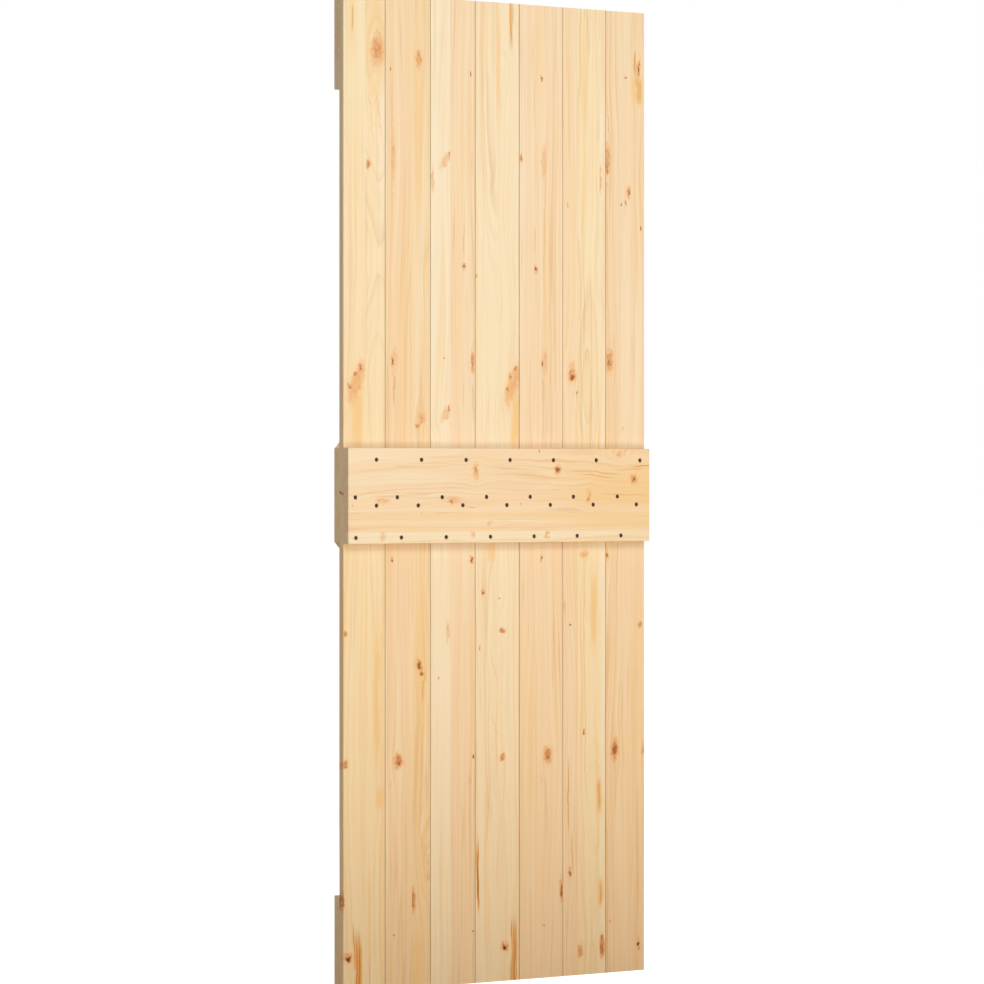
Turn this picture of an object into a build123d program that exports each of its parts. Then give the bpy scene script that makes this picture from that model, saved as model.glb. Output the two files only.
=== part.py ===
from build123d import *
import math
import os

os.makedirs("parts", exist_ok=True)

# A ledged and braced door leaf of pine, in millimetres.
# +X runs along the width, +Z is up, and the face with the single cross rail looks towards -Y.
# The origin is the middle of the top edge of the back top rail, where hangers take hold.

# Leaf
door_width = 800.0
door_height = 2100.0

# Upright planks, joined by tongues and grooves; the two outer planks are trimmed to the leaf's width
plank_count = 7
plank_cover_width = 117.3
plank_thickness = 16.0
plank_joint_gap = 0.8
plank_arris = 0.8
tongue_length = 6.0
tongue_thickness = 5.0
tongue_tip_chamfer = 0.8
groove_side_clearance = 0.2
groove_end_clearance = 0.6

# Cross rails and diagonal braces, cut from boards of one thickness
board_thickness = 18.0
board_edge_radius = 1.5
end_rail_height = 204.0
front_middle_rail_height = 202.0
front_middle_rail_top_below_leaf_top = 956.5
back_middle_rail_height = 197.0
back_middle_rail_top_below_leaf_top = 957.5
brace_width = 90.0

# Places that follow from the sizes above
half_width = door_width / 2
leaf_top = 0.0
leaf_bottom = leaf_top - door_height
back_boards_front = -board_thickness / 2
plank_back = back_boards_front
plank_front = plank_back - plank_thickness
front_board_back = plank_front
front_board_front = front_board_back - board_thickness
outer_plank_width = (door_width - (plank_count - 2) * plank_cover_width) / 2
front_middle_rail_top = leaf_top - front_middle_rail_top_below_leaf_top
back_middle_rail_top = leaf_top - back_middle_rail_top_below_leaf_top
back_middle_rail_bottom = back_middle_rail_top - back_middle_rail_height
top_rail_bottom = leaf_top - end_rail_height
bottom_rail_top = leaf_bottom + end_rail_height


def plank_sides(index):
    """Left and right shoulders of a plank, half a joint gap inside its cover width."""
    left = -half_width
    right = half_width
    if index > 0:
        left = -half_width + outer_plank_width + (index - 1) * plank_cover_width + plank_joint_gap / 2
    if index < plank_count - 1:
        right = -half_width + outer_plank_width + index * plank_cover_width - plank_joint_gap / 2
    return left, right


def tongue_outline(shoulder):
    """Points of the tongue, from the front of the shoulder to its back."""
    middle = (plank_front + plank_back) / 2
    front = middle - tongue_thickness / 2
    back = middle + tongue_thickness / 2
    tip = shoulder + tongue_length
    return [
        (shoulder, front),
        (tip - tongue_tip_chamfer, front),
        (tip, front + tongue_tip_chamfer),
        (tip, back - tongue_tip_chamfer),
        (tip - tongue_tip_chamfer, back),
        (shoulder, back),
    ]


def groove_outline(shoulder):
    """Points of the groove, from the back of the shoulder to its front."""
    middle = (plank_front + plank_back) / 2
    half_opening = tongue_thickness / 2 + groove_side_clearance
    floor = shoulder + tongue_length - plank_joint_gap + groove_end_clearance
    return [
        (shoulder, middle + half_opening),
        (floor, middle + half_opening),
        (floor, middle - half_opening),
        (shoulder, middle - half_opening),
    ]


def plank(index):
    """One plank: its cross section, with eased arrises, run from the bottom of the leaf to the top."""
    left, right = plank_sides(index)
    outline = [(left + plank_arris, plank_front), (right - plank_arris, plank_front)]
    outline.append((right, plank_front + plank_arris))
    if index < plank_count - 1:
        outline += tongue_outline(right)
    outline += [(right, plank_back - plank_arris), (right - plank_arris, plank_back)]
    outline += [(left + plank_arris, plank_back), (left, plank_back - plank_arris)]
    if index > 0:
        outline += groove_outline(left)
    outline.append((left, plank_front + plank_arris))
    section = make_face(Polyline(*outline, close=True))
    return Pos(0, 0, leaf_bottom) * extrude(section, amount=door_height, dir=(0, 0, 1))


def ease_long_edges(board, direction):
    """Round the edges of a board that run along the given direction."""
    along = Axis((0, 0, 0), direction)
    return fillet(board.edges().filter_by(along), board_edge_radius)


def rail(front, top, height):
    """A cross rail over the whole width, square at its ends."""
    middle = (0, front + board_thickness / 2, top - height / 2)
    board = Pos(*middle) * Box(door_width, board_thickness, height)
    return ease_long_edges(board, (1, 0, 0))


def brace_end_cut(rise):
    """Length of a brace's level end cut, for a brace that spans the width and the given rise.

    The brace's width is its end cut times the sine of its slope, and the slope depends on the end
    cut in turn, which gives a quadratic.
    """
    a = rise**2 - brace_width**2
    b = 2 * brace_width**2 * door_width
    c = -(brace_width**2) * (rise**2 + door_width**2)
    return (-b + math.sqrt(b**2 - 4 * a * c)) / (2 * a)


def brace(start_height, end_height):
    """A diagonal brace on the back, from the left of one rail to the right of another."""
    cut = brace_end_cut(abs(end_height - start_height))
    corners = [
        (-half_width, start_height),
        (-half_width + cut, start_height),
        (half_width, end_height),
        (half_width - cut, end_height),
    ]
    outline = Polyline(*[(x, back_boards_front, z) for x, z in corners], close=True)
    board = extrude(make_face(outline), amount=board_thickness, dir=(0, 1, 0))
    slope = (door_width - cut, 0, end_height - start_height)
    return ease_long_edges(board, slope)


nodes = {f"plank_{index + 1}": plank(index) for index in range(plank_count)}
nodes["front_middle_rail"] = rail(front_board_front, front_middle_rail_top, front_middle_rail_height)
nodes["back_top_rail"] = rail(back_boards_front, leaf_top, end_rail_height)
nodes["back_middle_rail"] = rail(back_boards_front, back_middle_rail_top, back_middle_rail_height)
nodes["back_bottom_rail"] = rail(back_boards_front, bottom_rail_top, end_rail_height)
nodes["upper_brace"] = brace(back_middle_rail_top, top_rail_bottom)
nodes["lower_brace"] = brace(back_middle_rail_bottom, bottom_rail_top)

for name, solid in nodes.items():
    export_step(solid, f"parts/{name}.step")
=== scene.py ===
import math
import bpy
from bpy.props import FloatProperty, FloatVectorProperty, IntProperty, PointerProperty
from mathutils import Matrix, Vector


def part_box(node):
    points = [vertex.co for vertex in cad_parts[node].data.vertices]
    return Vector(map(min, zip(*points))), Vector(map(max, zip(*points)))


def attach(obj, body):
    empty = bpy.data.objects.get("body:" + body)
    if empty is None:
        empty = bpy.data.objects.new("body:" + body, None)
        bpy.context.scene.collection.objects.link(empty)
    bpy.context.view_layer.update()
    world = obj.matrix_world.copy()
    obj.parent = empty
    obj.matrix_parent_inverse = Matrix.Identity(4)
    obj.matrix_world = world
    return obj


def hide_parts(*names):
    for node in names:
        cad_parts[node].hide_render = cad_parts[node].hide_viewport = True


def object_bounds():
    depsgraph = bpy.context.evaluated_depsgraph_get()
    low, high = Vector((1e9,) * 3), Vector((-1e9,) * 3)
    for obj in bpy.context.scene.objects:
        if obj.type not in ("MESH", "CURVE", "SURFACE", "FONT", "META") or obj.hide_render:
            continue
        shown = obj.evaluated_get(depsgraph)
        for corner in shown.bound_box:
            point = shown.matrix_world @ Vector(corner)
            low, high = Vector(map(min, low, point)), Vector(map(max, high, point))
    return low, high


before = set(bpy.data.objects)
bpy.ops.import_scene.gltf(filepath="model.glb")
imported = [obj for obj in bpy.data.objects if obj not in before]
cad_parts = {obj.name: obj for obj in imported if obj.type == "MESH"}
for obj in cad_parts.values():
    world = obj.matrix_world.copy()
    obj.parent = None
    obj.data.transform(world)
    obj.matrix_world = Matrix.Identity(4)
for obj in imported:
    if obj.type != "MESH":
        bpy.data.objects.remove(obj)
cad_low, cad_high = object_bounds()

bl_info = {
    "name": "Pine Door Leaf",
    "version": (1, 0, 0),
    "blender": (4, 5, 0),
    "location": "3D View > Sidebar > Door Leaf",
    "description": "Boards, nails, pine finish and studio for a ledged and braced sliding door leaf",
    "category": "Object",
}

MM = 0.001
PLANKS = [f"plank_{number}" for number in range(1, 8)]
FRONT_RAIL = "front_middle_rail"
BACK_RAILS = ["back_top_rail", "back_middle_rail", "back_bottom_rail"]
BRACES = ["upper_brace", "lower_brace"]

# Nails and the dents they sit in. A dent's cutter lies half in the wood, and shares are of a head's radius
HEAD_THICKNESS = 0.9 * MM
HEAD_SIDES = 14
HEAD_BEVEL_SHARE = 0.3
HEAD_BEVEL_STEPS = 2
SHANK_INSET_SHARE = 0.55
DENT_SIDES = 16
DENT_CUTTER_LENGTH = 4 * MM

# Nails of a brace: their shares of a plank's width, and the share of the rise kept clear at each end
BRACE_NAIL_SHARES = (0.3, 0.7)
BRACE_END_SHARE = 0.04

# Cosines from which a face counts as level and an edge as running along its board, the angle up to which
# faces are shaded as one, and how near counts as touching
LEVEL_FACE = 0.9
ALONG_BOARD = 0.99
SMOOTH_ANGLE = math.radians(40)
TOUCH = 0.01 * MM

# What the full range of a colour ramp stands for, in mm, where it carries hearts' places or ring widths
HEART_REACH = 600
RING_REACH = 20

# Seeds of the glued strips, and a place in mm that is past the edge of every board
SEED_START = 0.21
SEED_STEP = 0.618
SEED_SPREAD = 61.0
MOST_STRIPS = 3
PAST_BOARD = 1000

# Sideways straying of the grain: reach in mm, then features a metre across the board and along it
GRAIN_STRAYS = ((20, 8.0, 1.5), (7, 26.0, 1.2), (2.6, 60.0, 9.0))
HEART_WAVE = (11, 17.0, 6.0)

# Unevenness of knots and streaks: features a metre and reach
SHAKE_SCALE = 95.0
SHAKE_ACROSS = 6 * MM
SHAKE_ALONG = 12 * MM
STREAK_SWAY_ACROSS = 15.0
STREAK_SWAY_ALONG = 9.0
STREAK_SWAY = 6 * MM
STREAK_SHAKE = 1.2 * MM

# Share of the painted edge shade that the planks get, and depths between which a joint's painted shade sets
# in
PLANK_EDGE_SHADE_SHARE = 0.1
JOINT_START = 0.2 * MM
JOINT_FULL = 0.8 * MM

# How strongly a knot of each kind shows: the stain of its wood, its dark heart, its rings and how far it
# bends the grain
KNOT_KINDS = {
    "pin": (0.5, 0.7, 0.0, 0.5),
    "black": (1.0, 0.95, 0.3, 0.9),
    "dark": (0.95, 0.46, 0.35, 0.9),
    "red": (0.92, 0.27, 0.6, 0.9),
    "blush": (0.5, 0.1, 0.35, 0.8),
    "spot": (0.9, 0.22, 0.1, 0.8),
    "ring": (0.6, 0.22, 0.6, 1.0),
    "faint": (0.36, 0.0, 0.25, 0.8),
    "eye": (0.76, 0.06, 0.3, 1.0),
    "feather": (0.58, 0.0, 0.0, 0.6),
    "line": (0.28, 0.0, 0.0, 0.0),
    "unseen": (0.0, 0.0, 0.25, 1.0),
}

# Edge-glued strips of each board: where each starts in mm across the board, the tone of its wood, where
# across the board the heart of its tree lies and the width of its growth rings, both in mm, and how strongly
# its rings show
STRIPS = {
    "plank_1": ((0, "straw", -70, 6, 0.5), (55, "straw", 96, 6, 0.5)),
    "plank_2": ((0, "rose", -160, 4, 0.8), (69, "honey", 150, 7, 0.8)),
    "plank_3": ((0, "cream", -60, 7, 0.3), (51, "peach", 190, 5, 0.7)),
    "plank_4": ((0, "pale", 70, 6, 0.6), (60, "pale", 60, 6, 0.4)),
    "plank_5": ((0, "peach", -120, 5, 0.7), (40, "peach", -90, 5, 0.8)),
    "plank_6": ((0, "peach", 120, 4, 0.6), (40, "straw", 72, 6, 1.0), (100, "cream", 20, 6, 0.3)),
    "plank_7": ((0, "rose", 170, 5, 0.9), (39, "peach", -80, 5, 0.6), (68, "rose", 180, 6, 0.7)),
    "front_middle_rail": ((0, "peach", 70, 9, 0.8), (136, "peach", 110, 9, 0.6), (177, "cream", 60, 8, 0.3)),
    "back_top_rail": ((0, "straw", -40, 7, 0.7), (70, "peach", 100, 8, 0.7), (140, "cream", 40, 6, 0.5)),
    "back_middle_rail": ((0, "peach", 30, 8, 0.7), (58, "straw", 180, 6, 0.7), (128, "straw", 160, 7, 0.6)),
    "back_bottom_rail": ((0, "cream", 100, 6, 0.5), (65, "straw", 90, 8, 0.7), (138, "peach", 40, 6, 0.7)),
    "upper_brace": ((0, "straw", 45, 7, 0.8),),
    "lower_brace": ((0, "peach", 130, 6, 0.8),),
}

# How dark the painted shade inside each joint between planks is, from the left
PAINTED_JOINT_SHADES = (0.7, 0.5, 0.7, 1.0, 0.3, 0.35)

# Knots of each board, in mm: place across it and along it, width across it, length along it, then the kind
# and, for those that lean, how far across for each mm along
KNOTS = {
    "plank_1": (
        (86, 1981, 30, 50, "eye"), (86, 1998, 42, 90, "unseen"), (63, 1739, 9, 17, "red"),
        (34, 1282, 30, 80, "feather", 0.35), (16, 1272, 9, 13, "red"), (29, 1300, 9, 13, "red"),
        (44, 1312, 9, 13, "red"), (0, 1049, 5, 3, "black"), (5, 752, 8, 9, "spot"),
        (5, 479, 12, 12, "red"), (0, 192, 4, 30, "red"), (11, 73, 18, 16, "black"),
        (70, 1845, 4, 150, "line", -0.12), (90, 1850, 4, 120, "line", -0.15),
    ),
    "plank_2": (
        (14, 1944, 4, 11, "pin"), (86, 1967, 15, 32, "eye"), (20, 1757, 11, 78, "faint"),
        (18, 1328, 8, 22, "dark"), (24, 1334, 15, 46, "faint"), (93, 1206, 18, 26, "blush"),
        (93, 1206, 8, 10, "spot"), (83, 1191, 9, 11, "red"), (17, 907, 5, 13, "pin"),
        (87, 684, 14, 20, "dark"), (94, 670, 9, 13, "dark"), (33, 482, 21, 27, "red"),
        (35, 478, 9, 12, "dark"), (12, 434, 4, 13, "faint"), (118, 268, 40, 60, "unseen"),
        (110, 236, 10, 24, "faint"), (70, 188, 13, 42, "red"), (94, 300, 3, 90, "line", -0.2),
        (101, 288, 3, 80, "line", -0.28), (107, 283, 3, 60, "line", -0.3), (22, 114, 6, 6, "spot"),
    ),
    "plank_3": (
        (105, 1943, 4, 13, "pin"), (41, 1757, 22, 40, "faint", 0.6), (47, 1773, 5, 9, "red"),
        (5, 1712, 8, 53, "faint"), (88, 1530, 8, 12, "dark"), (40, 1217, 20, 34, "faint", 0.6),
        (46, 1228, 4, 8, "red"), (110, 1328, 9, 40, "red"), (34, 1337, 3, 4, "pin"),
        (107, 908, 7, 15, "dark"), (45, 752, 10, 40, "faint"), (20, 654, 4, 6, "pin"),
        (112, 485, 5, 9, "pin"), (103, 433, 4, 13, "faint"), (110, 114, 4, 5, "pin"),
    ),
    "plank_4": (
        (2, 1515, 4, 11, "pin"), (100, 1282, 28, 80, "feather", 0.35), (85, 1270, 9, 13, "red"),
        (92, 1299, 9, 13, "red"), (107, 1316, 9, 13, "red"), (21, 835, 8, 12, "dark"),
        (63, 824, 4, 4, "pin"), (72, 752, 12, 12, "spot"), (12, 717, 4, 13, "pin"),
        (53, 664, 3, 84, "line", -0.32), (56, 540, 3, 76, "line", -0.4), (72, 479, 12, 13, "spot"),
        (78, 73, 17, 16, "black"),
    ),
    "plank_5": (
        (59, 1944, 5, 13, "pin"), (65, 1759, 11, 80, "faint"), (4, 1770, 6, 18, "red"),
        (43, 1531, 8, 13, "dark"), (62, 1326, 7, 18, "dark"), (68, 1331, 15, 48, "faint"),
        (60, 908, 6, 13, "pin"), (76, 480, 19, 32, "red"), (79, 477, 9, 14, "dark"),
        (58, 434, 4, 22, "faint"), (113, 188, 9, 40, "dark"), (66, 115, 6, 5, "pin"),
    ),
    "plank_6": (
        (100, 1729, 10, 54, "blush"), (13, 1672, 6, 13, "faint"), (25, 1302, 18, 25, "dark"),
        (24, 1323, 18, 24, "faint"), (38, 1265, 3, 18, "pin"), (57, 914, 22, 13, "blush"),
        (4, 800, 6, 18, "faint"), (19, 762, 5, 7, "pin"), (57, 529, 6, 10, "dark"),
        (19, 225, 9, 18, "dark"), (106, 60, 14, 46, "red"), (107, 80, 8, 10, "dark"),
        (46, 52, 17, 27, "ring"),
    ),
    "plank_7": (
        (3, 1775, 18, 60, "ring"), (4, 1752, 6, 16, "red"), (54, 1956, 6, 9, "pin"),
        (86, 1972, 16, 40, "faint", 0.15), (91, 1976, 5, 38, "dark", 0.12), (64, 1707, 11, 20, "red"),
        (44, 1681, 5, 6, "pin"), (54, 1682, 5, 12, "pin"), (96, 1628, 5, 12, "pin"),
        (9, 1336, 24, 48, "ring"), (8, 1334, 9, 16, "dark"), (47, 1189, 5, 6, "faint"),
        (3, 912, 7, 18, "dark"), (94, 759, 8, 13, "spot"), (24, 487, 18, 40, "dark"),
        (102, 485, 5, 27, "red"), (11, 113, 5, 5, "pin"), (90, 58, 7, 20, "black"),
    ),
    "front_middle_rail": (
        (49, 330, 34, 12, "blush"), (45, 332, 14, 5, "red"), (46, 549, 18, 11, "dark"),
        (66, 758, 15, 16, "dark"), (102, 634, 26, 12, "blush"), (108, 632, 8, 5, "red"),
        (112, 273, 17, 30, "faint"), (113, 264, 6, 7, "red"), (112, 88, 12, 32, "faint"),
        (138, 187, 7, 4, "pin"), (122, 10, 4, 4, "pin"), (10, 716, 14, 11, "blush"),
        (4, 716, 46, 62, "unseen"), (6, 498, 9, 3, "pin"), (185, 88, 22, 13, "faint"),
        (185, 322, 17, 13, "faint"), (186, 518, 16, 11, "blush"), (160, 366, 10, 14, "faint"),
        (119, 452, 7, 4, "pin"),
    ),
    "back_top_rail": ((52, 140, 15, 18, "red"), (118, 395, 9, 11, "dark"), (170, 640, 14, 20, "faint")),
    "back_middle_rail": (
        (40, 250, 12, 16, "dark"), (96, 560, 16, 24, "faint"), (150, 705, 10, 12, "red"),
    ),
    "back_bottom_rail": ((60, 95, 10, 12, "dark"), (140, 300, 16, 26, "faint"), (88, 610, 14, 17, "red")),
    "upper_brace": ((30, 260, 10, 14, "red"), (62, 640, 8, 10, "dark"), (45, 880, 12, 22, "faint")),
    "lower_brace": ((58, 190, 9, 12, "dark"), (34, 520, 14, 24, "faint"), (50, 790, 9, 12, "red")),
}

# Streaks along the grain, in mm: place across the board, start and end along it, width, then the strength
RESIN_STREAKS = {
    "plank_1": (
        (24, 2005, 2085, 8, 0.45), (34, -80, 160, 26, 0.6), (24, 30, 165, 4, 0.8), (30, -60, 150, 5, 1.0),
        (37, -60, 135, 4, 1.0), (43, -80, 70, 3, 0.8), (68, -80, 120, 6, 0.35),
    ),
    "plank_2": (
        (22, 1215, 1320, 5, 0.3), (92, 1170, 1330, 5, 0.2), (97, 590, 690, 5, 0.35),
        (96, 280, 620, 5, 0.2),
    ),
    "plank_3": ((111, 1715, 1795, 10, 0.2), (111, 1180, 1310, 8, 0.25), (88, 1535, 1640, 4, 0.3)),
    "plank_4": (
        (94, 1975, 2150, 13, 0.45), (101, 2040, 2120, 5, 0.5), (6, 130, 330, 9, 1.0),
        (101, -80, 165, 24, 0.6), (92, 50, 145, 4, 0.7), (97, -80, 160, 4, 1.0), (104, -80, 130, 5, 1.0),
        (110, -80, 70, 3, 0.8),
    ),
    "plank_5": ((65, 1225, 1310, 5, 0.3), (42, 1540, 1640, 4, 0.3)),
    "plank_6": (
        (15, 280, 510, 5, 0.55), (24, 200, 330, 5, 0.35), (98, 345, 435, 10, 0.38),
        (100, 135, 215, 10, 0.42),
    ),
    "plank_7": (
        (84, 1955, 2025, 8, 0.5), (88, 1888, 1968, 15, 0.4), (16, 1240, 1430, 6, 0.2),
        (36, 1150, 1300, 5, 0.2),
    ),
    "front_middle_rail": (
        (28, 20, 125, 4, 0.2), (40, 100, 190, 4, 0.2), (34, 125, 290, 4, 0.2), (30, 295, 370, 4, 0.18),
        (42, 330, 555, 4, 0.25), (54, 360, 630, 4, 0.22), (43, 555, 745, 4, 0.4), (52, 590, 730, 4, 0.32),
        (28, 740, 830, 5, 0.55), (34, 690, 800, 4, 0.5), (67, 375, 445, 3, 0.2), (88, 630, 830, 4, 0.28),
        (98, 5, 130, 4, 0.16), (106, 655, 830, 3, 0.2), (113, 300, 335, 4, 0.35), (137, -40, 140, 3, 0.3),
        (138, 190, 345, 3, 0.3), (140, 545, 690, 3, 0.3),
    ),
}
GOLD_STREAKS = {
    "plank_1": (
        (80, 1860, 2180, 44, 0.5), (20, 1930, 2180, 34, 0.4), (32, 1090, 1300, 36, 0.9),
        (85, 420, 820, 22, 0.9), (93, 370, 440, 30, 0.8), (66, 0, 300, 14, 0.6),
    ),
    "plank_2": ((82, -40, 140, 36, 0.7), (92, 480, 950, 36, 0.5), (86, 1600, 2000, 30, 0.5)),
    "plank_3": ((100, 1650, 1960, 20, 0.35),),
    "plank_4": ((63, 1800, 2130, 16, 0.7), (101, 1110, 1300, 34, 1.0), (43, 890, 955, 32, 0.7)),
    "plank_5": ((50, 1850, 2120, 22, 0.4), (30, 300, 700, 20, 0.35)),
    "plank_6": (
        (83, 680, 900, 26, 0.9), (98, 330, 440, 24, 1.0), (100, 135, 220, 24, 1.0),
        (60, 1800, 2120, 26, 0.5), (109, 1830, 2200, 22, 0.5),
    ),
    "plank_7": ((86, 1885, 1970, 36, 1.0), (78, 300, 900, 26, 0.4)),
    "front_middle_rail": ((70, 480, 1100, 150, 0.65), (160, 480, 1100, 60, 0.5)),
}

# Nails of a cross rail: depth below the rail's top edge, then the first, second and last nail along it, in mm
NAIL_ROWS = ((25, 72, 188, 774), (104, 18, 125.5, 711.5), (121.5, 72, 179.5, 764), (189, 19.5, 136, 721.5))

# Soft lights in metres: place, the point faced, width and height, then the colour
SOFT_LIGHTS = {
    "front": ((0.0, -1.7, -0.3), (0.0, 0.0, -0.3), (4.6, 2.2), (0.91, 1.0, 1.09)),
    "upper": ((0.0, -2.2, 0.9), (0.0, 0.0, -1.05), (5.0, 1.0), (1.02, 1.0, 0.93)),
    "lower": ((0.0, -1.3, -1.9), (0.0, 0.0, -0.8), (5.0, 0.4), (1.1, 0.94, 0.64)),
    "floor": ((0.0, -4.0, cad_low.z), (0.0, -4.0, 0.0), (9.0, 4.0), (0.65, 1.0, 1.3)),
    "side": ((-3.0, -0.6, -0.8), (-0.4, 0.0, -0.9), (2.4, 2.4), (0.9, 1.0, 1.12)),
    "back": ((0.6, 2.2, 1.2), (0.0, 0.0, -0.8), (3.0, 2.4), (1.0, 1.0, 1.0)),
}

# Floor: its size in metres, its colour where seen, the glow that makes it white, its colour in bounced light
FLOOR_SIZE = 120.0
FLOOR_PALE = (0.7, 0.7, 0.7, 1)
FLOOR_GLOW = 0.96
FLOOR_BOUNCE = (0.2, 0.15, 0.1, 1)
WHITE = (1, 1, 1, 1)
SENSOR_WIDTH = 36.0
CAMERA_REACH = 200.0


def screen_colour(red, green, blue):
    """A colour as seen on screen, 0 to 255, turned to the linear values that shaders use."""
    def linear(value):
        value /= 255
        return value / 12.92 if value <= 0.04045 else ((value + 0.055) / 1.055) ** 2.4
    return linear(red), linear(green), linear(blue)


def wood_colour(name, description, red, green, blue):
    """A colour property of the finish."""
    return FloatVectorProperty(name=name, description=description, subtype="COLOR", min=0, max=1,
                               default=screen_colour(red, green, blue))


def length(name, description, default, low, high):
    """A length property, given in mm."""
    return FloatProperty(name=name, description=description, unit="LENGTH", default=default * MM,
                         min=low * MM, max=high * MM)


def power(name, description, default):
    """The power of a light in watts, as a property."""
    return FloatProperty(name=name, description=f"Power of {description} in watts", default=default, min=0)


class PineFinish(bpy.types.PropertyGroup):
    """Colours and scale of the bare pine and of the nails."""
    cream: wood_colour("Cream", "Palest sapwood", 250, 226, 191)
    pale: wood_colour("Pale", "Pale yellowish wood", 250, 223, 183)
    straw: wood_colour("Straw", "Yellowish wood", 250, 221, 176)
    honey: wood_colour("Honey", "Warm, darker wood", 247, 209, 160)
    peach: wood_colour("Peach", "Pinkish wood", 249, 214, 174)
    rose: wood_colour("Rose", "Darker pinkish wood", 247, 210, 167)
    latewood: wood_colour("Latewood", "Dark line of each growth ring", 218, 164, 104)
    gold: wood_colour("Gold", "Resin-rich bands", 246, 200, 136)
    resin: wood_colour("Resin", "Narrow resin streaks", 236, 160, 80)
    resin_dark: wood_colour("Dark Resin", "Middle of a resin streak", 184, 112, 34)
    knot_glow: wood_colour("Knot Glow", "Stained wood round a knot", 241, 182, 124)
    knot_wood: wood_colour("Knot Wood", "Wood of a knot", 218, 138, 78)
    knot_rim: wood_colour("Knot Rim", "Dark rings of a knot", 180, 112, 64)
    knot_heart: wood_colour("Knot Heart", "Dark middle of a knot", 142, 76, 28)
    knot_black: wood_colour("Knot Black", "Middle of a dead knot", 76, 38, 4)
    # Painted shade: a dark colour laid on the wood inside the joints between planks
    joint_painted_shade: wood_colour("Joint Painted Shade", "Shaded wood inside a joint", 70, 56, 42)
    nail_dark: wood_colour("Nail Dark", "Blackened steel", 44, 34, 28)
    nail_rust: wood_colour("Nail Rust", "Browned steel", 84, 56, 38)
    relief: length("Relief", "Height of the grain's relief", 0.12, 0, 1)


class BoardMake(bpy.types.PropertyGroup):
    """Shaping of the rails and braces and the nails in them."""
    edge_radius: length("Edge Radius", "Rounding of a board's long edges", 1.5, 0.1, 5)
    edge_steps: IntProperty(name="Edge Steps", description="Facets in a rounded edge",
                            default=4, min=1, max=12)
    nail_pitch: length("Nail Pitch", "Distance between nails of a row", 116.4, 20, 300)
    nail_diameter: length("Nail Diameter", "Width of a nail head", 8.9, 1, 20)
    nail_sink: length("Nail Sink", "Depth of a nail head below the wood", 0.5, 0, 5)
    nail_length: length("Nail Length", "Length of a nail under its head", 12, 1, 30)
    hole_room: length("Hole Room", "Gap between a nail head and the wood round it", 0.3, 0.05, 2)


class Studio(bpy.types.PropertyGroup):
    """Camera, lights and floor."""
    camera_place: FloatVectorProperty(name="Camera Place", description="Camera position",
                                      subtype="TRANSLATION", unit="LENGTH",
                                      default=(-5.9653, -8.153, -1.0131))
    camera_turn: FloatProperty(name="Camera Turn", description="Turn to the right of straight ahead",
                               subtype="ANGLE", unit="ROTATION", default=math.radians(36.21))
    camera_lens: FloatProperty(name="Lens", description="Focal length in mm", default=171.95, min=10)
    camera_shift: FloatProperty(name="Shift", description="Upward shift of the frame", default=-0.0175)
    ambient: FloatProperty(name="Ambient", description="Light from all round", default=0.1, min=0)
    front_power: power("Front Power", "the large light in front", 24.8)
    upper_power: power("Upper Power", "the light from above", 34)
    lower_power: power("Lower Power", "the light from below", 16)
    floor_power: power("Floor Power", "the wide light far out on the floor", 90)
    side_power: power("Side Power", "the light on the left", 11.5)
    back_power: power("Back Power", "the light behind the leaf", 80)
    floor_gap: length("Floor Gap", "Height of the leaf above the floor", 12, 0, 1000)


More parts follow.
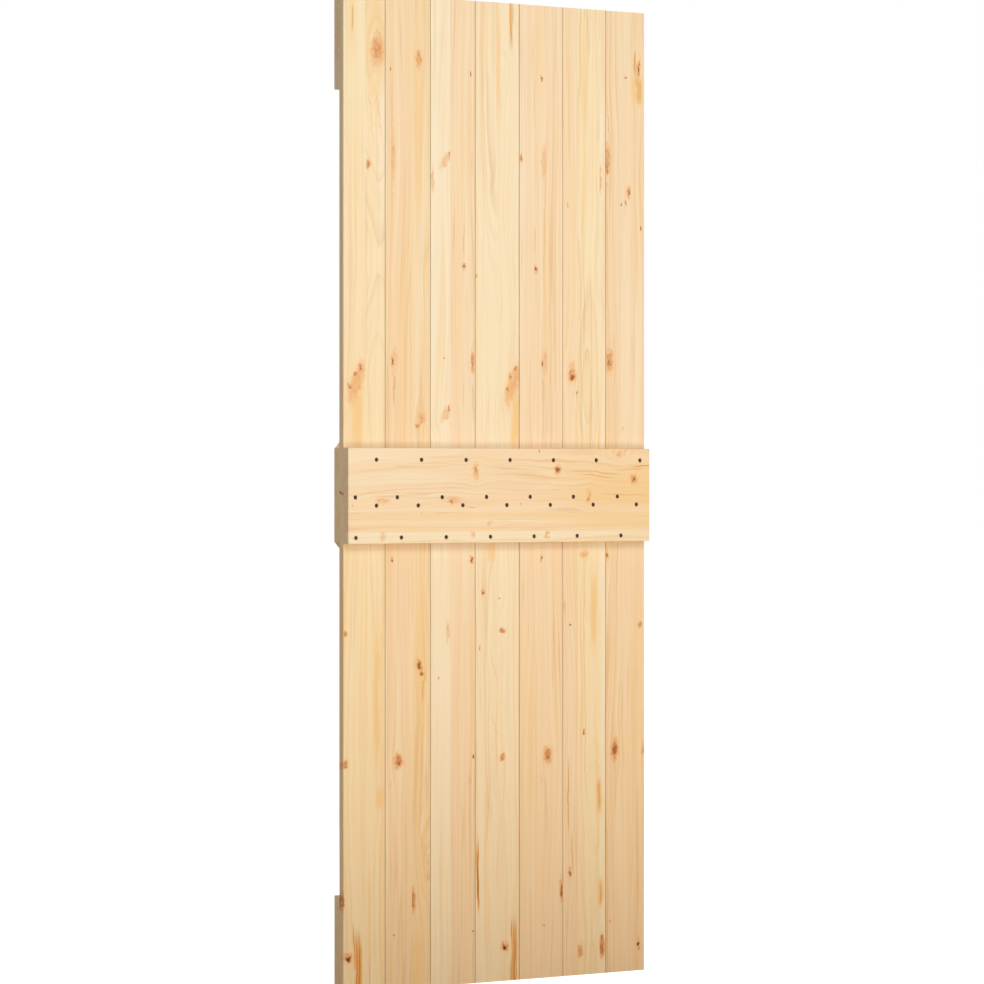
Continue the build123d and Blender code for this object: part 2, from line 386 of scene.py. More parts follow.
class NodeBench:
    """Adds shader nodes to one node tree and joins them."""

    COLUMN = 190
    ROWS = 8
    ROW = 210

    def __init__(self, tree):
        self.tree = tree
        self.count = 0

    def add(self, kind, values=None, **settings):
        """A shader node with its settings, and its inputs set to numbers or joined to sockets."""
        node = self.tree.nodes.new("ShaderNode" + kind)
        node.location = (self.count // self.ROWS * self.COLUMN, -(self.count % self.ROWS) * self.ROW)
        self.count += 1
        for name, value in settings.items():
            setattr(node, name, value)
        for key, value in (values or {}).items():
            self.join(node.inputs[key], value)
        return node

    def join(self, socket, value):
        """Set an input to a number, or join it to another node's output."""
        if isinstance(value, bpy.types.NodeSocket):
            self.tree.links.new(value, socket)
        else:
            socket.default_value = value

    def maths(self, operation, *values):
        """Result of a maths node."""
        return self.add("Math", dict(enumerate(values)), operation=operation).outputs[0]

    def plus(self, first, second):
        """Sum of two numbers."""
        return self.maths("ADD", first, second)

    def minus(self, first, second):
        """Difference of two numbers."""
        return self.maths("SUBTRACT", first, second)

    def times(self, first, second):
        """Product of two numbers."""
        return self.maths("MULTIPLY", first, second)

    def vector(self, x=0.0, y=0.0, z=0.0):
        """A vector of three numbers."""
        return self.add("CombineXYZ", {0: x, 1: y, 2: z}).outputs[0]

    def length(self, x, y):
        """Distance of a point from the middle of its plane."""
        return self.add("VectorMath", {0: self.vector(x, y)}, operation="LENGTH").outputs["Value"]

    def smooth(self, value, start, end, low=0.0, high=1.0):
        """A smooth step from low at start to high at end."""
        values = {"Value": value, "From Min": start, "From Max": end, "To Min": low, "To Max": high}
        return self.add("MapRange", values, interpolation_type="SMOOTHSTEP").outputs[0]

    def scale(self, value, low, high):
        """A number from 0 to 1 stretched to lie between low and high."""
        return self.add("MapRange", {"Value": value, "To Min": low, "To Max": high}).outputs[0]

    def blend(self, amount, below, above):
        """One colour laid over another."""
        node = self.add("Mix", data_type="RGBA")
        for socket, value in zip([node.inputs[0], node.inputs[6], node.inputs[7]], [amount, below, above]):
            self.join(socket, value)
        return node.outputs[2]

    def faces(self, normal, way):
        """1 where a surface faces along a direction or against it, 0 elsewhere."""
        facing = self.add("VectorMath", {0: normal, 1: way}, operation="DOT_PRODUCT")
        return self.smooth(self.maths("ABSOLUTE", facing.outputs["Value"]), 0.6, 0.9)

    def noise(self, place, detail=2.0, roughness=0.5):
        """Soft noise from 0 to 1."""
        values = {"Vector": place, "Scale": 1.0, "Detail": detail, "Roughness": roughness}
        return self.add("TexNoise", values).outputs[0]


def full(colour):
    """A finish colour with its fourth value."""
    return (*colour, 1.0)


def group_tree(name, inputs, outputs):
    """An empty node group with number sockets, or colour ones where the name ends in Colour."""
    tree = bpy.data.node_groups.new(name, "ShaderNodeTree")
    for names, side in ((inputs, "INPUT"), (outputs, "OUTPUT")):
        for socket in names:
            kind = "NodeSocketColor" if socket.endswith("Colour") else "NodeSocketFloat"
            tree.interface.new_socket(socket, in_out=side, socket_type=kind)
    given = tree.nodes.new("NodeGroupInput").outputs
    made = tree.nodes.new("NodeGroupOutput").inputs
    return tree, NodeBench(tree), given, made


def knot_group():
    """Node group of one knot, kept within its glued strip, which adds itself to the knots before it."""
    runs = ["Stain", "Heart", "Rings", "Bend"]
    inputs = ["Across", "Along", "Place Across", "Place Along", "Half Width", "Half Length", "Lean",
              "Own Stain", "Own Heart", "Own Rings", "Own Bend", "True Across", "Strip Start", "Strip End"]
    inputs += runs
    tree, bench, given, made = group_tree("pine_knot", inputs, runs)
    rise = bench.minus(given["Along"], given["Place Along"])
    side = bench.minus(given["Across"], given["Place Across"])
    side = bench.minus(side, bench.times(rise, given["Lean"]))
    a = bench.maths("DIVIDE", side, given["Half Width"])
    b = bench.maths("DIVIDE", rise, given["Half Length"])
    inside = bench.times(bench.maths("GREATER_THAN", given["True Across"], given["Strip Start"]),
                         bench.maths("LESS_THAN", given["True Across"], given["Strip End"]))

    # Stain: strong in the knot's body, weak in a wide halo
    edge = bench.length(a, b)
    body = bench.smooth(edge, 1.4, 0.5, 0.0, 0.6)
    stain = bench.plus(body, bench.smooth(edge, 2.6, 0.4, 0.0, 0.4))
    stain = bench.times(stain, given["Own Stain"])

    # Heart: a smaller spot, set a little low
    low = bench.plus(b, 0.2)
    heart = bench.length(bench.times(a, 1.5), bench.times(low, 1.4))
    heart = bench.times(bench.smooth(heart, 1.3, 0.4), given["Own Heart"])

    # Rings round the middle, drawn out along the grain
    round_it = bench.length(a, bench.times(b, 0.85))
    rings = bench.smooth(bench.maths("SINE", bench.maths("MULTIPLY_ADD", round_it, 11.4, -3.5)), 0.2, 1.0)
    rings = bench.times(rings, bench.smooth(round_it, 1.3, 0.5, 0.0, given["Own Rings"]))

    # Bend: the grain parts round the knot
    spread = bench.length(bench.times(a, 0.75), bench.times(b, 0.4))
    spread = bench.plus(bench.maths("POWER", spread, 2.0), 1.0)
    bend = bench.maths("DIVIDE", bench.times(side, given["Own Bend"]), spread)

    for name, value in (("Stain", stain), ("Heart", heart), ("Rings", rings)):
        bench.join(made[name], bench.maths("MAXIMUM", bench.times(value, inside), given[name]))
    bench.join(made["Bend"], bench.minus(given["Bend"], bench.times(bend, inside)))
    return tree


def streak_group():
    """Node group of one streak along the grain, which adds itself to the streaks before it."""
    inputs = ["Across", "Along", "Place", "Start", "End", "Half Width", "Strength", "Streak"]
    tree, bench, given, made = group_tree("pine_streak", inputs, ["Streak"])
    side = bench.maths("ABSOLUTE", bench.minus(given["Across"], given["Place"]))
    across = bench.smooth(side, given["Half Width"], bench.times(given["Half Width"], 0.25))
    fade = bench.times(bench.minus(given["End"], given["Start"]), 0.35)
    rise = bench.smooth(given["Along"], given["Start"], bench.plus(given["Start"], fade))
    fall = bench.smooth(given["Along"], given["End"], bench.minus(given["End"], fade))
    shape = bench.times(across, bench.times(rise, fall))
    shape = bench.times(shape, given["Strength"])
    bench.join(made["Streak"], bench.maths("MAXIMUM", shape, given["Streak"]))
    return tree


def grain_group(finish):
    """Node group of the pine itself: colour, gloss and relief from its rings, stripes, knots and streaks."""
    inputs = ["Across", "Through", "Along", "Seed", "Tone Colour", "Heart Across", "Ring Width", "Figure",
              "Stain", "Heart", "Rings", "Bend", "Resin", "Gold", "End", "Edge", "Joint"]
    tree, bench, given, made = group_tree("pine_grain", inputs, ["Colour", "Roughness", "Relief"])
    across, through, along = given["Across"], given["Through"], given["Along"]
    shift = bench.times(given["Seed"], SEED_SPREAD)

    def field(wide, long, detail=2.0, roughness=0.5, sideways=across):
        """Noise stretched along the grain, with so many features a metre across and along it."""
        x = bench.maths("MULTIPLY_ADD", sideways, wide, shift)
        y = bench.times(through, wide)
        z = bench.maths("MULTIPLY_ADD", along, long, shift)
        return bench.noise(bench.vector(x, y, z), detail, roughness)

    def stray(reach, wide, long):
        """Sideways straying of the grain, up to a reach in mm each way."""
        return bench.scale(field(wide, long), -reach * MM, reach * MM)

    def lay(below, tint, amount):
        """A colour of the finish laid over another colour."""
        return bench.blend(amount, below, full(getattr(finish, tint)))

    # Growth rings round a straying heart, whose dark late wood shows more in some rings and places
    bent = bench.plus(across, given["Bend"])
    for straying in GRAIN_STRAYS:
        bent = bench.plus(bent, stray(*straying))
    near_heart = bench.maths("ABSOLUTE", bench.minus(across, given["Heart Across"]))
    wave = bench.times(stray(*HEART_WAVE), bench.smooth(near_heart, 0.09, 0.02))
    bent = bench.plus(bent, wave)
    heart_side = bench.minus(bent, given["Heart Across"])
    taper = bench.times(field(2.0, 1.1), 0.13)
    heart_depth = bench.plus(through, taper)
    phase = bench.maths("DIVIDE", bench.length(heart_side, heart_depth), given["Ring Width"])
    values = {"W": bench.maths("MULTIPLY_ADD", phase, 0.45, shift), "Scale": 1.0}
    uneven = bench.add("TexNoise", values, noise_dimensions="1D").outputs[0]
    phase = bench.plus(phase, bench.scale(uneven, -1.4, 1.4))
    turn = bench.maths("FRACT", phase)
    late = bench.times(bench.smooth(turn, 0.25, 0.92), bench.smooth(turn, 1.0, 0.93))
    number = bench.plus(bench.maths("FLOOR", phase), shift)
    each = bench.add("TexWhiteNoise", {"W": number}, noise_dimensions="1D").outputs["Value"]
    late = bench.times(late, bench.scale(bench.maths("POWER", each, 2.4), 0.1, 1.0))
    late = bench.times(late, bench.smooth(field(14.0, 1.8), 0.36, 0.66, 0.12, 1.15))
    late = bench.times(late, given["Figure"])

    # Bands, stripes and fibres along the grain
    bands = field(30.0, 0.7, 3.0, 0.55, bent)
    stripes = field(105.0, 1.1, 2.0, 0.55, bent)
    fine = field(330.0, 2.6, 2.0, 0.6, bent)
    fibre = field(900.0, 18.0, 2.0, 0.6)
    cloud = field(12.0, 3.5, 3.0, 0.55)
    colour = given["Tone Colour"]
    colour = lay(colour, "honey", bench.smooth(bands, 0.5, 0.7, 0.0, 0.75))
    colour = lay(colour, "cream", bench.smooth(bands, 0.48, 0.28, 0.0, 0.7))
    colour = lay(colour, "peach", bench.smooth(cloud, 0.45, 0.8, 0.0, 0.35))
    colour = lay(colour, "gold", bench.smooth(stripes, 0.5, 0.7, 0.0, 0.5))
    colour = lay(colour, "cream", bench.smooth(stripes, 0.47, 0.27, 0.0, 0.6))
    colour = lay(colour, "latewood", bench.smooth(fine, 0.5, 0.8, 0.0, 0.06))
    colour = lay(colour, "latewood", bench.times(late, 0.46))
    thread = bench.maths("ABSOLUTE", bench.minus(field(60.0, 0.9, 1.0, 0.5, bent), 0.5))
    thread = bench.times(bench.smooth(thread, 0.03, 0.0),
                         bench.smooth(cloud, 0.35, 0.6, 0.1, 0.44))
    colour = lay(colour, "latewood", bench.times(thread, given["Figure"]))
    colour = lay(colour, "latewood", bench.smooth(fibre, 0.5, 0.8, 0.0, 0.05))

    # Gold bands, and resin streaks made of fine lines
    lines = bench.smooth(field(260.0, 2.5, 2.0, 0.6, bent), 0.34, 0.56, 0.3, 1.0)
    colour = lay(colour, "gold", given["Gold"])
    resin = bench.times(given["Resin"], lines)
    stain_of_resin = lay(full(finish.latewood), "resin", bench.smooth(resin, 0.2, 0.46))
    colour = bench.blend(bench.smooth(resin, 0.0, 0.5), colour, stain_of_resin)
    colour = lay(colour, "resin_dark", bench.smooth(resin, 0.45, 1.0))

    # Knots, blotched and partly ringed
    mottle = bench.smooth(field(170.0, 70.0, 3.0, 0.6), 0.3, 0.65, 0.6, 1.0)
    patches = bench.smooth(field(120.0, 55.0, 2.0, 0.55), 0.36, 0.62, 0.15, 1.0)
    stain = bench.times(given["Stain"], mottle)
    colour = lay(colour, "knot_glow", bench.smooth(stain, 0.0, 0.5))
    colour = lay(colour, "knot_wood", bench.smooth(stain, 0.4, 0.95))
    colour = lay(colour, "knot_rim", bench.times(given["Rings"], patches))
    colour = lay(colour, "knot_heart", bench.smooth(given["Heart"], 0.05, 0.6))
    colour = lay(colour, "knot_black", bench.smooth(given["Heart"], 0.6, 1.0))

    # End grain, then painted shade on the long edges and painted shade inside the joints
    colour = lay(colour, "latewood", bench.times(given["End"], 0.15))
    # Painted shade: the long edges are darkened towards latewood
    colour = lay(colour, "latewood", bench.times(given["Edge"], 0.4))
    # Painted shade laid inside the joints
    colour = lay(colour, "joint_painted_shade", given["Joint"])
    bench.join(made["Colour"], colour)

    gloss = bench.times(given["Stain"], 0.1)
    bench.join(made["Roughness"], bench.minus(bench.scale(fibre, 0.5, 0.68), gloss))
    bench.join(made["Relief"], fibre)
    return tree


def pine_groups(finish):
    """The three node groups of the pine, made once."""
    if "pine_grain" not in bpy.data.node_groups:
        knot_group()
        streak_group()
        grain_group(finish)
    return [bpy.data.node_groups[name] for name in ("pine_knot", "pine_streak", "pine_grain")]


def use_group(bench, group, values):
    """A node that uses a group, with its inputs set."""
    node = bench.add("Group", node_tree=group)
    for key, value in values.items():
        bench.join(node.inputs[key], value)
    return node.outputs


def strip_steps(bench, place, stops):
    """A colour and a fourth value that change in steps at the given shares of the board's width."""
    node = bench.add("ValToRGB", {0: place})
    ramp = node.color_ramp
    ramp.interpolation = "CONSTANT"
    ramp.elements.remove(ramp.elements[1])
    for number, (share, colour) in enumerate(stops):
        stop = ramp.elements[0] if number == 0 else ramp.elements.new(share)
        stop.color = colour
    return node.outputs


def strip_values(bench, name, across, width):
    """Tone, seed and growth rings of the glued strip that a point lies in."""
    finish = bpy.context.scene.pine_finish
    first = list(STRIPS).index(name) * MOST_STRIPS
    tones = []
    rings = []
    for number, (start, tone, heart, spacing, figure) in enumerate(STRIPS[name]):
        share = start * MM / width
        seed = (SEED_STEP * (first + number) + SEED_START) % 1.0
        tones.append((share, (*getattr(finish, tone), seed)))
        rings.append((share, (0.5 + heart / HEART_REACH, spacing / RING_REACH, figure, 1.0)))
    place = bench.maths("DIVIDE", across, width)
    tone = strip_steps(bench, place, tones)
    ring = bench.add("SeparateColor", {0: strip_steps(bench, place, rings)["Color"]}).outputs
    half = HEART_REACH * MM / 2
    return {"Tone Colour": tone["Color"], "Seed": tone["Alpha"], "Figure": ring[2],
            "Heart Across": bench.scale(ring[0], -half, half),
            "Ring Width": bench.times(ring[1], RING_REACH * MM)}


def strip_edges(name, across):
    """Start and end, in metres, of the glued strip that a knot lies in."""
    starts = [strip[0] for strip in STRIPS[name]]
    low = max((start for start in starts if 0 < start <= across), default=-PAST_BOARD)
    high = min((start for start in starts if start > across), default=PAST_BOARD)
    return low * MM, high * MM


def add_knots(bench, group, name, true_across, across, along):
    """All knots of a board, one group after another."""
    runs = {"Stain": 0.0, "Heart": 0.0, "Rings": 0.0, "Bend": 0.0}
    for side, up, wide, long, kind, *lean in KNOTS[name]:
        stain, heart, rings, bend = KNOT_KINDS[kind]
        start, end = strip_edges(name, side)
        values = {"Across": across, "Along": along, "Place Across": side * MM, "Place Along": up * MM,
                  "Half Width": wide * MM / 2, "Half Length": long * MM / 2, "Lean": sum(lean),
                  "Own Stain": stain, "Own Heart": heart, "Own Rings": rings, "Own Bend": bend,
                  "True Across": true_across, "Strip Start": start, "Strip End": end, **runs}
        outputs = use_group(bench, group, values)
        runs = {run: outputs[run] for run in runs}
    return runs


def add_streaks(bench, group, streaks, across, along):
    """Streaks of a board, one group after another."""
    streak = 0.0
    for place, start, end, width, strength in streaks:
        values = {"Across": across, "Along": along, "Place": place * MM, "Start": start * MM, "End": end * MM,
                  "Half Width": width * MM / 2, "Strength": strength, "Streak": streak}
        streak = use_group(bench, group, values)["Streak"]
    return streak


def paint_joint_shade(bench, name, normal, through):
    """Painted shade: darkness laid inside the joints at a plank's two sides. Other boards have none."""
    if name not in PLANKS:
        return 0.0
    number = PLANKS.index(name)
    left, right = ((0.0,) + PAINTED_JOINT_SHADES + (0.0,))[number:number + 2]
    side = bench.add("SeparateXYZ", {0: normal}).outputs["X"]
    facing_left = bench.smooth(side, -0.5, -0.85, 0.0, left)
    facing_right = bench.smooth(side, 0.5, 0.85, 0.0, right)
    return bench.times(bench.plus(facing_left, facing_right),
                       bench.smooth(through, JOINT_START, JOINT_FULL))


def new_material(name):
    """An empty material and the bench for its nodes."""
    material = bpy.data.materials.new(name)
    material.use_nodes = True
    material.node_tree.nodes.clear()
    return material, NodeBench(material.node_tree)


def pine_material(name, corner, turn, width):
    """Bare pine for one board, whose grain starts at a corner and is turned about the depth axis."""
    finish = bpy.context.scene.pine_finish
    knot, streak, grain = pine_groups(finish)
    material, bench = new_material("pine_" + name)
    place = bench.add("TexCoord").outputs["Object"]
    values = {"Vector": place, "Location": corner, "Rotation": (0.0, turn, 0.0)}
    place = bench.add("Mapping", values, vector_type="TEXTURE").outputs[0]
    axes = bench.add("SeparateXYZ", {0: place}).outputs
    across, through, along = axes["X"], axes["Y"], axes["Z"]
    values = {"Vector": place, "Scale": SHAKE_SCALE, "Detail": 2.0}
    shake = bench.add("TexNoise", values).outputs["Color"]
    shake = bench.add("SeparateColor", {0: shake}).outputs
    loose_across = bench.plus(across, bench.scale(shake[0], -SHAKE_ACROSS, SHAKE_ACROSS))
    loose_along = bench.plus(along, bench.scale(shake[1], -SHAKE_ALONG, SHAKE_ALONG))
    knots = add_knots(bench, knot, name, across, loose_across, loose_along)
    slow = bench.noise(bench.vector(bench.times(across, STREAK_SWAY_ACROSS), 0.0,
                                    bench.times(along, STREAK_SWAY_ALONG)))
    swayed = bench.plus(across, knots["Bend"])
    swayed = bench.plus(swayed, bench.scale(slow, -STREAK_SWAY, STREAK_SWAY))
    swayed = bench.plus(swayed, bench.scale(shake[2], -STREAK_SHAKE, STREAK_SHAKE))
    normal = bench.add("NewGeometry").outputs["Normal"]
    grain_way = (math.sin(turn), 0.0, math.cos(turn))
    side_way = (math.cos(turn), 0.0, -math.sin(turn))
    # Painted shade on the long edges, weaker on the planks
    edge_shade_share = PLANK_EDGE_SHADE_SHARE if name in PLANKS else 1.0
    values = {"Across": across, "Through": through, "Along": along, **knots,
              **strip_values(bench, name, across, width),
              "Resin": add_streaks(bench, streak, RESIN_STREAKS.get(name, ()), swayed, along),
              "Gold": add_streaks(bench, streak, GOLD_STREAKS.get(name, ()), swayed, along),
              "End": bench.faces(normal, grain_way),
              "Edge": bench.times(bench.faces(normal, side_way), edge_shade_share),
              # Painted shade inside the joints at a plank's two sides
              "Joint": paint_joint_shade(bench, name, normal, through)}
    pine = use_group(bench, grain, values)
    bump = bench.add("Bump", {"Height": pine["Relief"], "Distance": finish.relief, "Strength": 0.6})
    values = {"Base Color": pine["Colour"], "Roughness": pine["Roughness"], "Normal": bump.outputs[0],
              "Specular IOR Level": 0.3}
    shader = bench.add("BsdfPrincipled", values)
    bench.add("OutputMaterial", {"Surface": shader.outputs[0]})
    return material


def nail_material():
    """Blackened steel with brown patches."""
    finish = bpy.context.scene.pine_finish
    material, bench = new_material("nail_steel")
    place = bench.add("TexCoord").outputs["Object"]
    patches = bench.add("TexNoise", {"Vector": place, "Scale": 420.0, "Detail": 4.0}).outputs[0]
    colour = bench.blend(bench.smooth(patches, 0.4, 0.7), full(finish.nail_dark), full(finish.nail_rust))
    bump = bench.add("Bump", {"Height": patches, "Distance": 0.1 * MM, "Strength": 0.5})
    values = {"Base Color": colour, "Roughness": bench.scale(patches, 0.4, 0.75),
              "Normal": bump.outputs[0], "Metallic": 0.6}
    shader = bench.add("BsdfPrincipled", values)
    bench.add("OutputMaterial", {"Surface": shader.outputs[0]})
    return material


def dress(piece, material):
    """Give a piece one material."""
    piece.data.materials.clear()
    piece.data.materials.append(material)


def pick(piece):
    """Select one piece alone and make it the active one."""
    bpy.ops.object.select_all(action="DESELECT")
    piece.select_set(True)
    bpy.context.view_layer.objects.active = piece


def start_edit(kind):
    """Deselect everything in edit mode and pick vertices, edges or faces."""
    bpy.ops.object.mode_set(mode="EDIT")
    bpy.ops.mesh.select_mode(type=kind)
    bpy.ops.mesh.select_all(action="DESELECT")
    bpy.ops.object.mode_set(mode="OBJECT")


def add_box(name, low, high):
    """A box between two corners, with its place in its mesh."""
    bpy.ops.mesh.primitive_cube_add(size=1.0, location=(low + high) / 2)
    piece = bpy.context.active_object
    piece.name = name
    piece.data.name = name
    piece.scale = high - low
    bpy.ops.object.transform_apply()
    return piece


def lean_top(piece, distance):
    """Push the top of a board sideways, so that its sides slope."""
    start_edit("VERT")
    top = max(vertex.co.z for vertex in piece.data.vertices)
    for vertex in piece.data.vertices:
        vertex.select = vertex.co.z > top - TOUCH
    bpy.ops.object.mode_set(mode="EDIT")
    bpy.ops.transform.translate(value=(distance, 0.0, 0.0))
    bpy.ops.object.mode_set(mode="OBJECT")


def round_long_edges(piece, way):
    """Round the edges that run along the board."""
    make = bpy.context.scene.board_make
    start_edit("EDGE")
    points = piece.data.vertices
    for edge in piece.data.edges:
        line = (points[edge.vertices[1]].co - points[edge.vertices[0]].co).normalized()
        edge.select = abs(line.dot(way)) > ALONG_BOARD
    bpy.ops.object.mode_set(mode="EDIT")
    bpy.ops.mesh.bevel(offset=make.edge_radius, segments=make.edge_steps)
    bpy.ops.object.mode_set(mode="OBJECT")


def copies_at(model, places):
    """Copies of a model at many places, joined to one mesh. The model itself is used up."""
    copies = []
    for place in places:
        pick(model)
        bpy.ops.object.duplicate()
        copy = bpy.context.active_object
        copy.location = place
        copies.append(copy)
    bpy.data.objects.remove(model)
    bpy.ops.object.select_all(action="DESELECT")
    for copy in copies:
        copy.select_set(True)
    bpy.context.view_layer.objects.active = copies[0]
    bpy.ops.object.join()
    joined = bpy.context.active_object
    bpy.ops.object.transform_apply()
    return joined


def sink_holes(piece, places):
    """Cut the dents that nail heads sit in."""
    make = bpy.context.scene.board_make
    radius = make.nail_diameter / 2 + make.hole_room
    bpy.ops.mesh.primitive_cylinder_add(vertices=DENT_SIDES, radius=radius, depth=DENT_CUTTER_LENGTH,
                                        rotation=(math.radians(90), 0, 0))
    cutter = bpy.context.active_object
    bpy.ops.object.transform_apply(location=False, rotation=True, scale=False)
    cutters = copies_at(cutter, places)
    modifier = piece.modifiers.new("holes", "BOOLEAN")
    modifier.object = cutters
    modifier.operation = "DIFFERENCE"
    modifier.solver = "EXACT"
    pick(piece)
    bpy.ops.object.modifier_apply(modifier=modifier.name)
    bpy.data.objects.remove(cutters)


def finish_board(piece, node, places, material):
    """Holes, shading and material of a board, which then stands for its node."""
    sink_holes(piece, places)
    pick(piece)
    bpy.ops.object.shade_smooth_by_angle(angle=SMOOTH_ANGLE)
    dress(piece, material)
    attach(piece, "root")
    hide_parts(node)


def nail_model(outward):
    """One nail: a low domed head on a shank that goes into the wood."""
    make = bpy.context.scene.board_make
    radius = make.nail_diameter / 2
    top = -make.nail_sink
    bpy.ops.mesh.primitive_cylinder_add(vertices=HEAD_SIDES, radius=radius, depth=HEAD_THICKNESS,
                                        end_fill_type="NGON", location=(0, 0, top - HEAD_THICKNESS / 2))
    nail = bpy.context.active_object
    bpy.ops.object.transform_apply(location=True, rotation=False, scale=False)
    start_edit("FACE")
    for face in nail.data.polygons:
        face.select = face.normal.z < -LEVEL_FACE
    bpy.ops.object.mode_set(mode="EDIT")
    bpy.ops.mesh.inset(thickness=radius * SHANK_INSET_SHARE)
    bpy.ops.mesh.extrude_region_move(TRANSFORM_OT_translate={"value": (0, 0, -make.nail_length)})
    bpy.ops.object.mode_set(mode="OBJECT")
    start_edit("FACE")
    for face in nail.data.polygons:
        face.select = face.normal.z > LEVEL_FACE and face.center.z > top - HEAD_THICKNESS / 4
    bpy.ops.object.mode_set(mode="EDIT")
    bpy.ops.mesh.bevel(offset=radius * HEAD_BEVEL_SHARE, segments=HEAD_BEVEL_STEPS)
    bpy.ops.object.mode_set(mode="OBJECT")
    nail.rotation_euler = (math.radians(90 if outward < 0 else -90), 0, 0)
    bpy.ops.object.transform_apply(location=False, rotation=True, scale=False)
    return nail


def rail_nail_places(node, outward):
    """Where the nails of a cross rail enter its outer face."""
    make = bpy.context.scene.board_make
    low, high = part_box(node)
    face = low.y if outward < 0 else high.y
    places = []
    for depth, first, second, last in NAIL_ROWS:
        along = [first * MM]
        along += [second * MM + step * make.nail_pitch for step in range(len(PLANKS) - 2)]
        along.append(last * MM)
        start, way = (low.x, 1) if outward < 0 else (high.x, -1)
        share = depth * MM / (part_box(FRONT_RAIL)[1].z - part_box(FRONT_RAIL)[0].z)
        places += [Vector((start + way * step, face, high.z - share * (high.z - low.z))) for step in along]
    return places


def brace_run(node):
    """Box, lean and level end cut of a brace, read from its solid. A falling brace has a negative lean."""
    low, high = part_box(node)
    points = [vertex.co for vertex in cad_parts[node].data.vertices]
    foot = [point.x for point in points if point.z < low.z + TOUCH]
    cut = max(foot) - min(foot)
    lean = high.x - low.x - cut
    return (low, high, lean, cut) if min(foot) < 0 else (low, high, -lean, cut)


def brace_nail_places(node):
    """Two nails where a brace crosses each plank, one near each of its edges."""
    low, high, lean, cut = brace_run(node)
    places = []
    for plank in PLANKS:
        left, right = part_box(plank)
        for share in BRACE_NAIL_SHARES:
            x = left.x + (right.x - left.x) * share
            start = low.x + cut * share if lean > 0 else high.x - cut * (1 - share)
            rise = (x - start) / lean
            if BRACE_END_SHARE < rise < 1 - BRACE_END_SHARE:
                places.append(Vector((x, high.y, low.z + rise * (high.z - low.z))))
    return places


def nails_for(node, places, outward):
    """The nails of one board, as one piece."""
    nails = copies_at(nail_model(outward), places)
    nails.name = node + "_nails"
    nails.data.name = nails.name
    bpy.ops.object.shade_smooth_by_angle(angle=SMOOTH_ANGLE)
    dress(nails, bpy.data.materials.get("nail_steel") or nail_material())
    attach(nails, "root")


class DOOR_OT_dress_planks(bpy.types.Operator):
    """Give each upright plank its own pine"""
    bl_idname = "door_leaf.dress_planks"
    bl_label = "Dress Planks"

    def execute(self, context):
        for name in PLANKS:
            low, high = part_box(name)
            dress(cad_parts[name], pine_material(name, low, 0.0, high.x - low.x))
        return {"FINISHED"}


class DOOR_OT_make_rails(bpy.types.Operator):
    """Model the cross rails with rounded edges and nail holes"""
    bl_idname = "door_leaf.make_rails"
    bl_label = "Make Rails"

    def execute(self, context):
        for node in [FRONT_RAIL] + BACK_RAILS:
            outward = -1 if node == FRONT_RAIL else 1
            low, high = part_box(node)
            board = add_box(node + "_board", low, high)
            round_long_edges(board, Vector((1, 0, 0)))
            material = pine_material(node, (low.x, low.y, high.z), math.radians(90), high.z - low.z)
            finish_board(board, node, rail_nail_places(node, outward), material)
        return {"FINISHED"}


class DOOR_OT_make_braces(bpy.types.Operator):
    """Model the diagonal braces with level ends, rounded edges and nail holes"""
    bl_idname = "door_leaf.make_braces"
    bl_label = "Make Braces"

    def execute(self, context):
        for node in BRACES:
            low, high, lean, cut = brace_run(node)
            foot = low.x if lean > 0 else high.x - cut
            corner = Vector((foot, low.y, low.z))
            board = add_box(node + "_board", corner, Vector((foot + cut, high.y, high.z)))
            lean_top(board, lean)
            way = Vector((lean, 0, high.z - low.z)).normalized()
            round_long_edges(board, way)
            turn = math.atan2(way.x, way.z)
            material = pine_material(node, corner, turn, cut * way.z)
            finish_board(board, node, brace_nail_places(node), material)
        return {"FINISHED"}


class DOOR_OT_drive_nails(bpy.types.Operator):
    """Set the nails in the rails and braces"""
    bl_idname = "door_leaf.drive_nails"
    bl_label = "Drive Nails"

    def execute(self, context):
        nails_for(FRONT_RAIL, rail_nail_places(FRONT_RAIL, -1), -1)
        for node in BACK_RAILS:
            nails_for(node, rail_nail_places(node, 1), 1)
        for node in BRACES:
            nails_for(node, brace_nail_places(node), 1)
        return {"FINISHED"}


def seen_ray(bench):
    """1 for rays from the camera and for reflections, 0 for light that bounces."""
    rays = bench.add("LightPath").outputs
    seen = bench.maths("MAXIMUM", rays["Is Camera Ray"], rays["Is Glossy Ray"])
    return bench.maths("MAXIMUM", seen, rays["Is Transmission Ray"])


def make_world(studio):
    """Even light from all round, with a white background."""
    world = bpy.data.worlds.new("studio")
    bpy.context.scene.world = world
    world.use_nodes = True
    world.node_tree.nodes.clear()
    bench = NodeBench(world.node_tree)
    strength = bench.scale(seen_ray(bench), studio.ambient, 1.0)
    light = bench.add("Background", {"Color": WHITE, "Strength": strength})
    bench.add("OutputWorld", {"Surface": light.outputs[0]})


def make_floor(studio):
    """A wide pale floor under the leaf, white where no shadow falls."""
    bpy.ops.mesh.primitive_plane_add(size=FLOOR_SIZE, location=(0, 0, cad_low.z - studio.floor_gap))
    floor = bpy.context.active_object
    floor.name = "studio_floor"
    bpy.ops.object.transform_apply()
    material, bench = new_material("studio_floor")
    seen = seen_ray(bench)
    pale = bench.add("BsdfDiffuse", {"Color": FLOOR_PALE})
    glow = bench.add("Emission", {"Color": WHITE, "Strength": FLOOR_GLOW})
    bright = bench.add("AddShader", {0: pale.outputs[0], 1: glow.outputs[0]})
    bounce = bench.add("BsdfDiffuse", {"Color": FLOOR_BOUNCE})
    either = bench.add("MixShader", {0: seen, 1: bounce.outputs[0], 2: bright.outputs[0]})
    bench.add("OutputMaterial", {"Surface": either.outputs[0]})
    dress(floor, material)


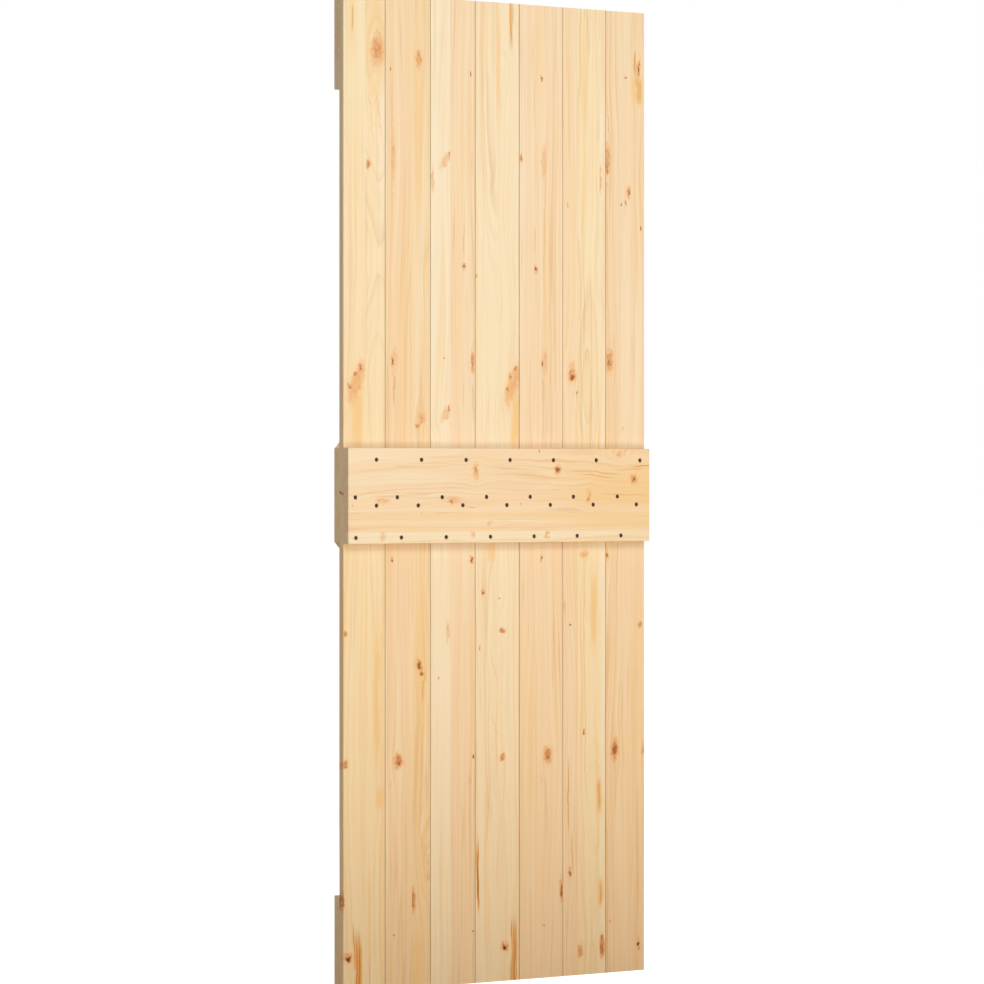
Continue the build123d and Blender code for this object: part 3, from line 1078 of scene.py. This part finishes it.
def soft_light(name, watts, place, target, size, colour):
    """A large soft light that faces a point."""
    bpy.ops.object.light_add(type="AREA", location=place)
    light = bpy.context.active_object
    light.name = name
    light.data.shape = "RECTANGLE"
    light.data.size, light.data.size_y = size
    light.data.energy = watts
    light.data.color = colour
    light.visible_camera = False
    light.rotation_euler = (Vector(target) - Vector(place)).to_track_quat("-Z", "Y").to_euler()


def make_camera(studio):
    """The camera at the photo's place, level and turned to the right."""
    turn = (math.radians(90), 0, -studio.camera_turn)
    bpy.ops.object.camera_add(location=studio.camera_place, rotation=turn)
    camera = bpy.context.active_object
    camera.data.sensor_width = SENSOR_WIDTH
    camera.data.lens = studio.camera_lens
    camera.data.shift_y = studio.camera_shift
    camera.data.clip_end = CAMERA_REACH
    bpy.context.scene.camera = camera


class DOOR_OT_set_studio(bpy.types.Operator):
    """Floor, lights, background and camera"""
    bl_idname = "door_leaf.set_studio"
    bl_label = "Set Studio"

    def execute(self, context):
        studio = context.scene.studio
        make_world(studio)
        make_floor(studio)
        for name, light in SOFT_LIGHTS.items():
            soft_light(name + "_light", getattr(studio, name + "_power"), *light)
        make_camera(studio)
        context.scene.view_settings.view_transform = "Standard"
        return {"FINISHED"}


class DOOR_PT_leaf(bpy.types.Panel):
    """Sizes, colours and steps of the door leaf"""
    bl_idname = "DOOR_PT_leaf"
    bl_label = "Door Leaf"
    bl_space_type = "VIEW_3D"
    bl_region_type = "UI"
    bl_category = "Door Leaf"

    def draw(self, context):
        for step in STEPS:
            self.layout.operator(step.bl_idname)
        for group in (context.scene.pine_finish, context.scene.board_make, context.scene.studio):
            box = self.layout.box()
            for name in group.__annotations__:
                box.prop(group, name)


STEPS = (DOOR_OT_dress_planks, DOOR_OT_make_rails, DOOR_OT_make_braces, DOOR_OT_drive_nails,
         DOOR_OT_set_studio)
CLASSES = (PineFinish, BoardMake, Studio) + STEPS + (DOOR_PT_leaf,)


def register():
    """Register the classes and the settings of a scene."""
    for item in CLASSES:
        bpy.utils.register_class(item)
    bpy.types.Scene.pine_finish = PointerProperty(type=PineFinish)
    bpy.types.Scene.board_make = PointerProperty(type=BoardMake)
    bpy.types.Scene.studio = PointerProperty(type=Studio)


def unregister():
    """Remove the settings and the classes."""
    del bpy.types.Scene.studio
    del bpy.types.Scene.board_make
    del bpy.types.Scene.pine_finish
    for item in reversed(CLASSES):
        bpy.utils.unregister_class(item)


def main():
    """Dress the leaf step by step."""
    register()
    bpy.ops.door_leaf.dress_planks()
    bpy.ops.door_leaf.make_rails()
    bpy.ops.door_leaf.make_braces()
    bpy.ops.door_leaf.drive_nails()
    bpy.ops.door_leaf.set_studio()


if __name__ == "__main__":
    main()
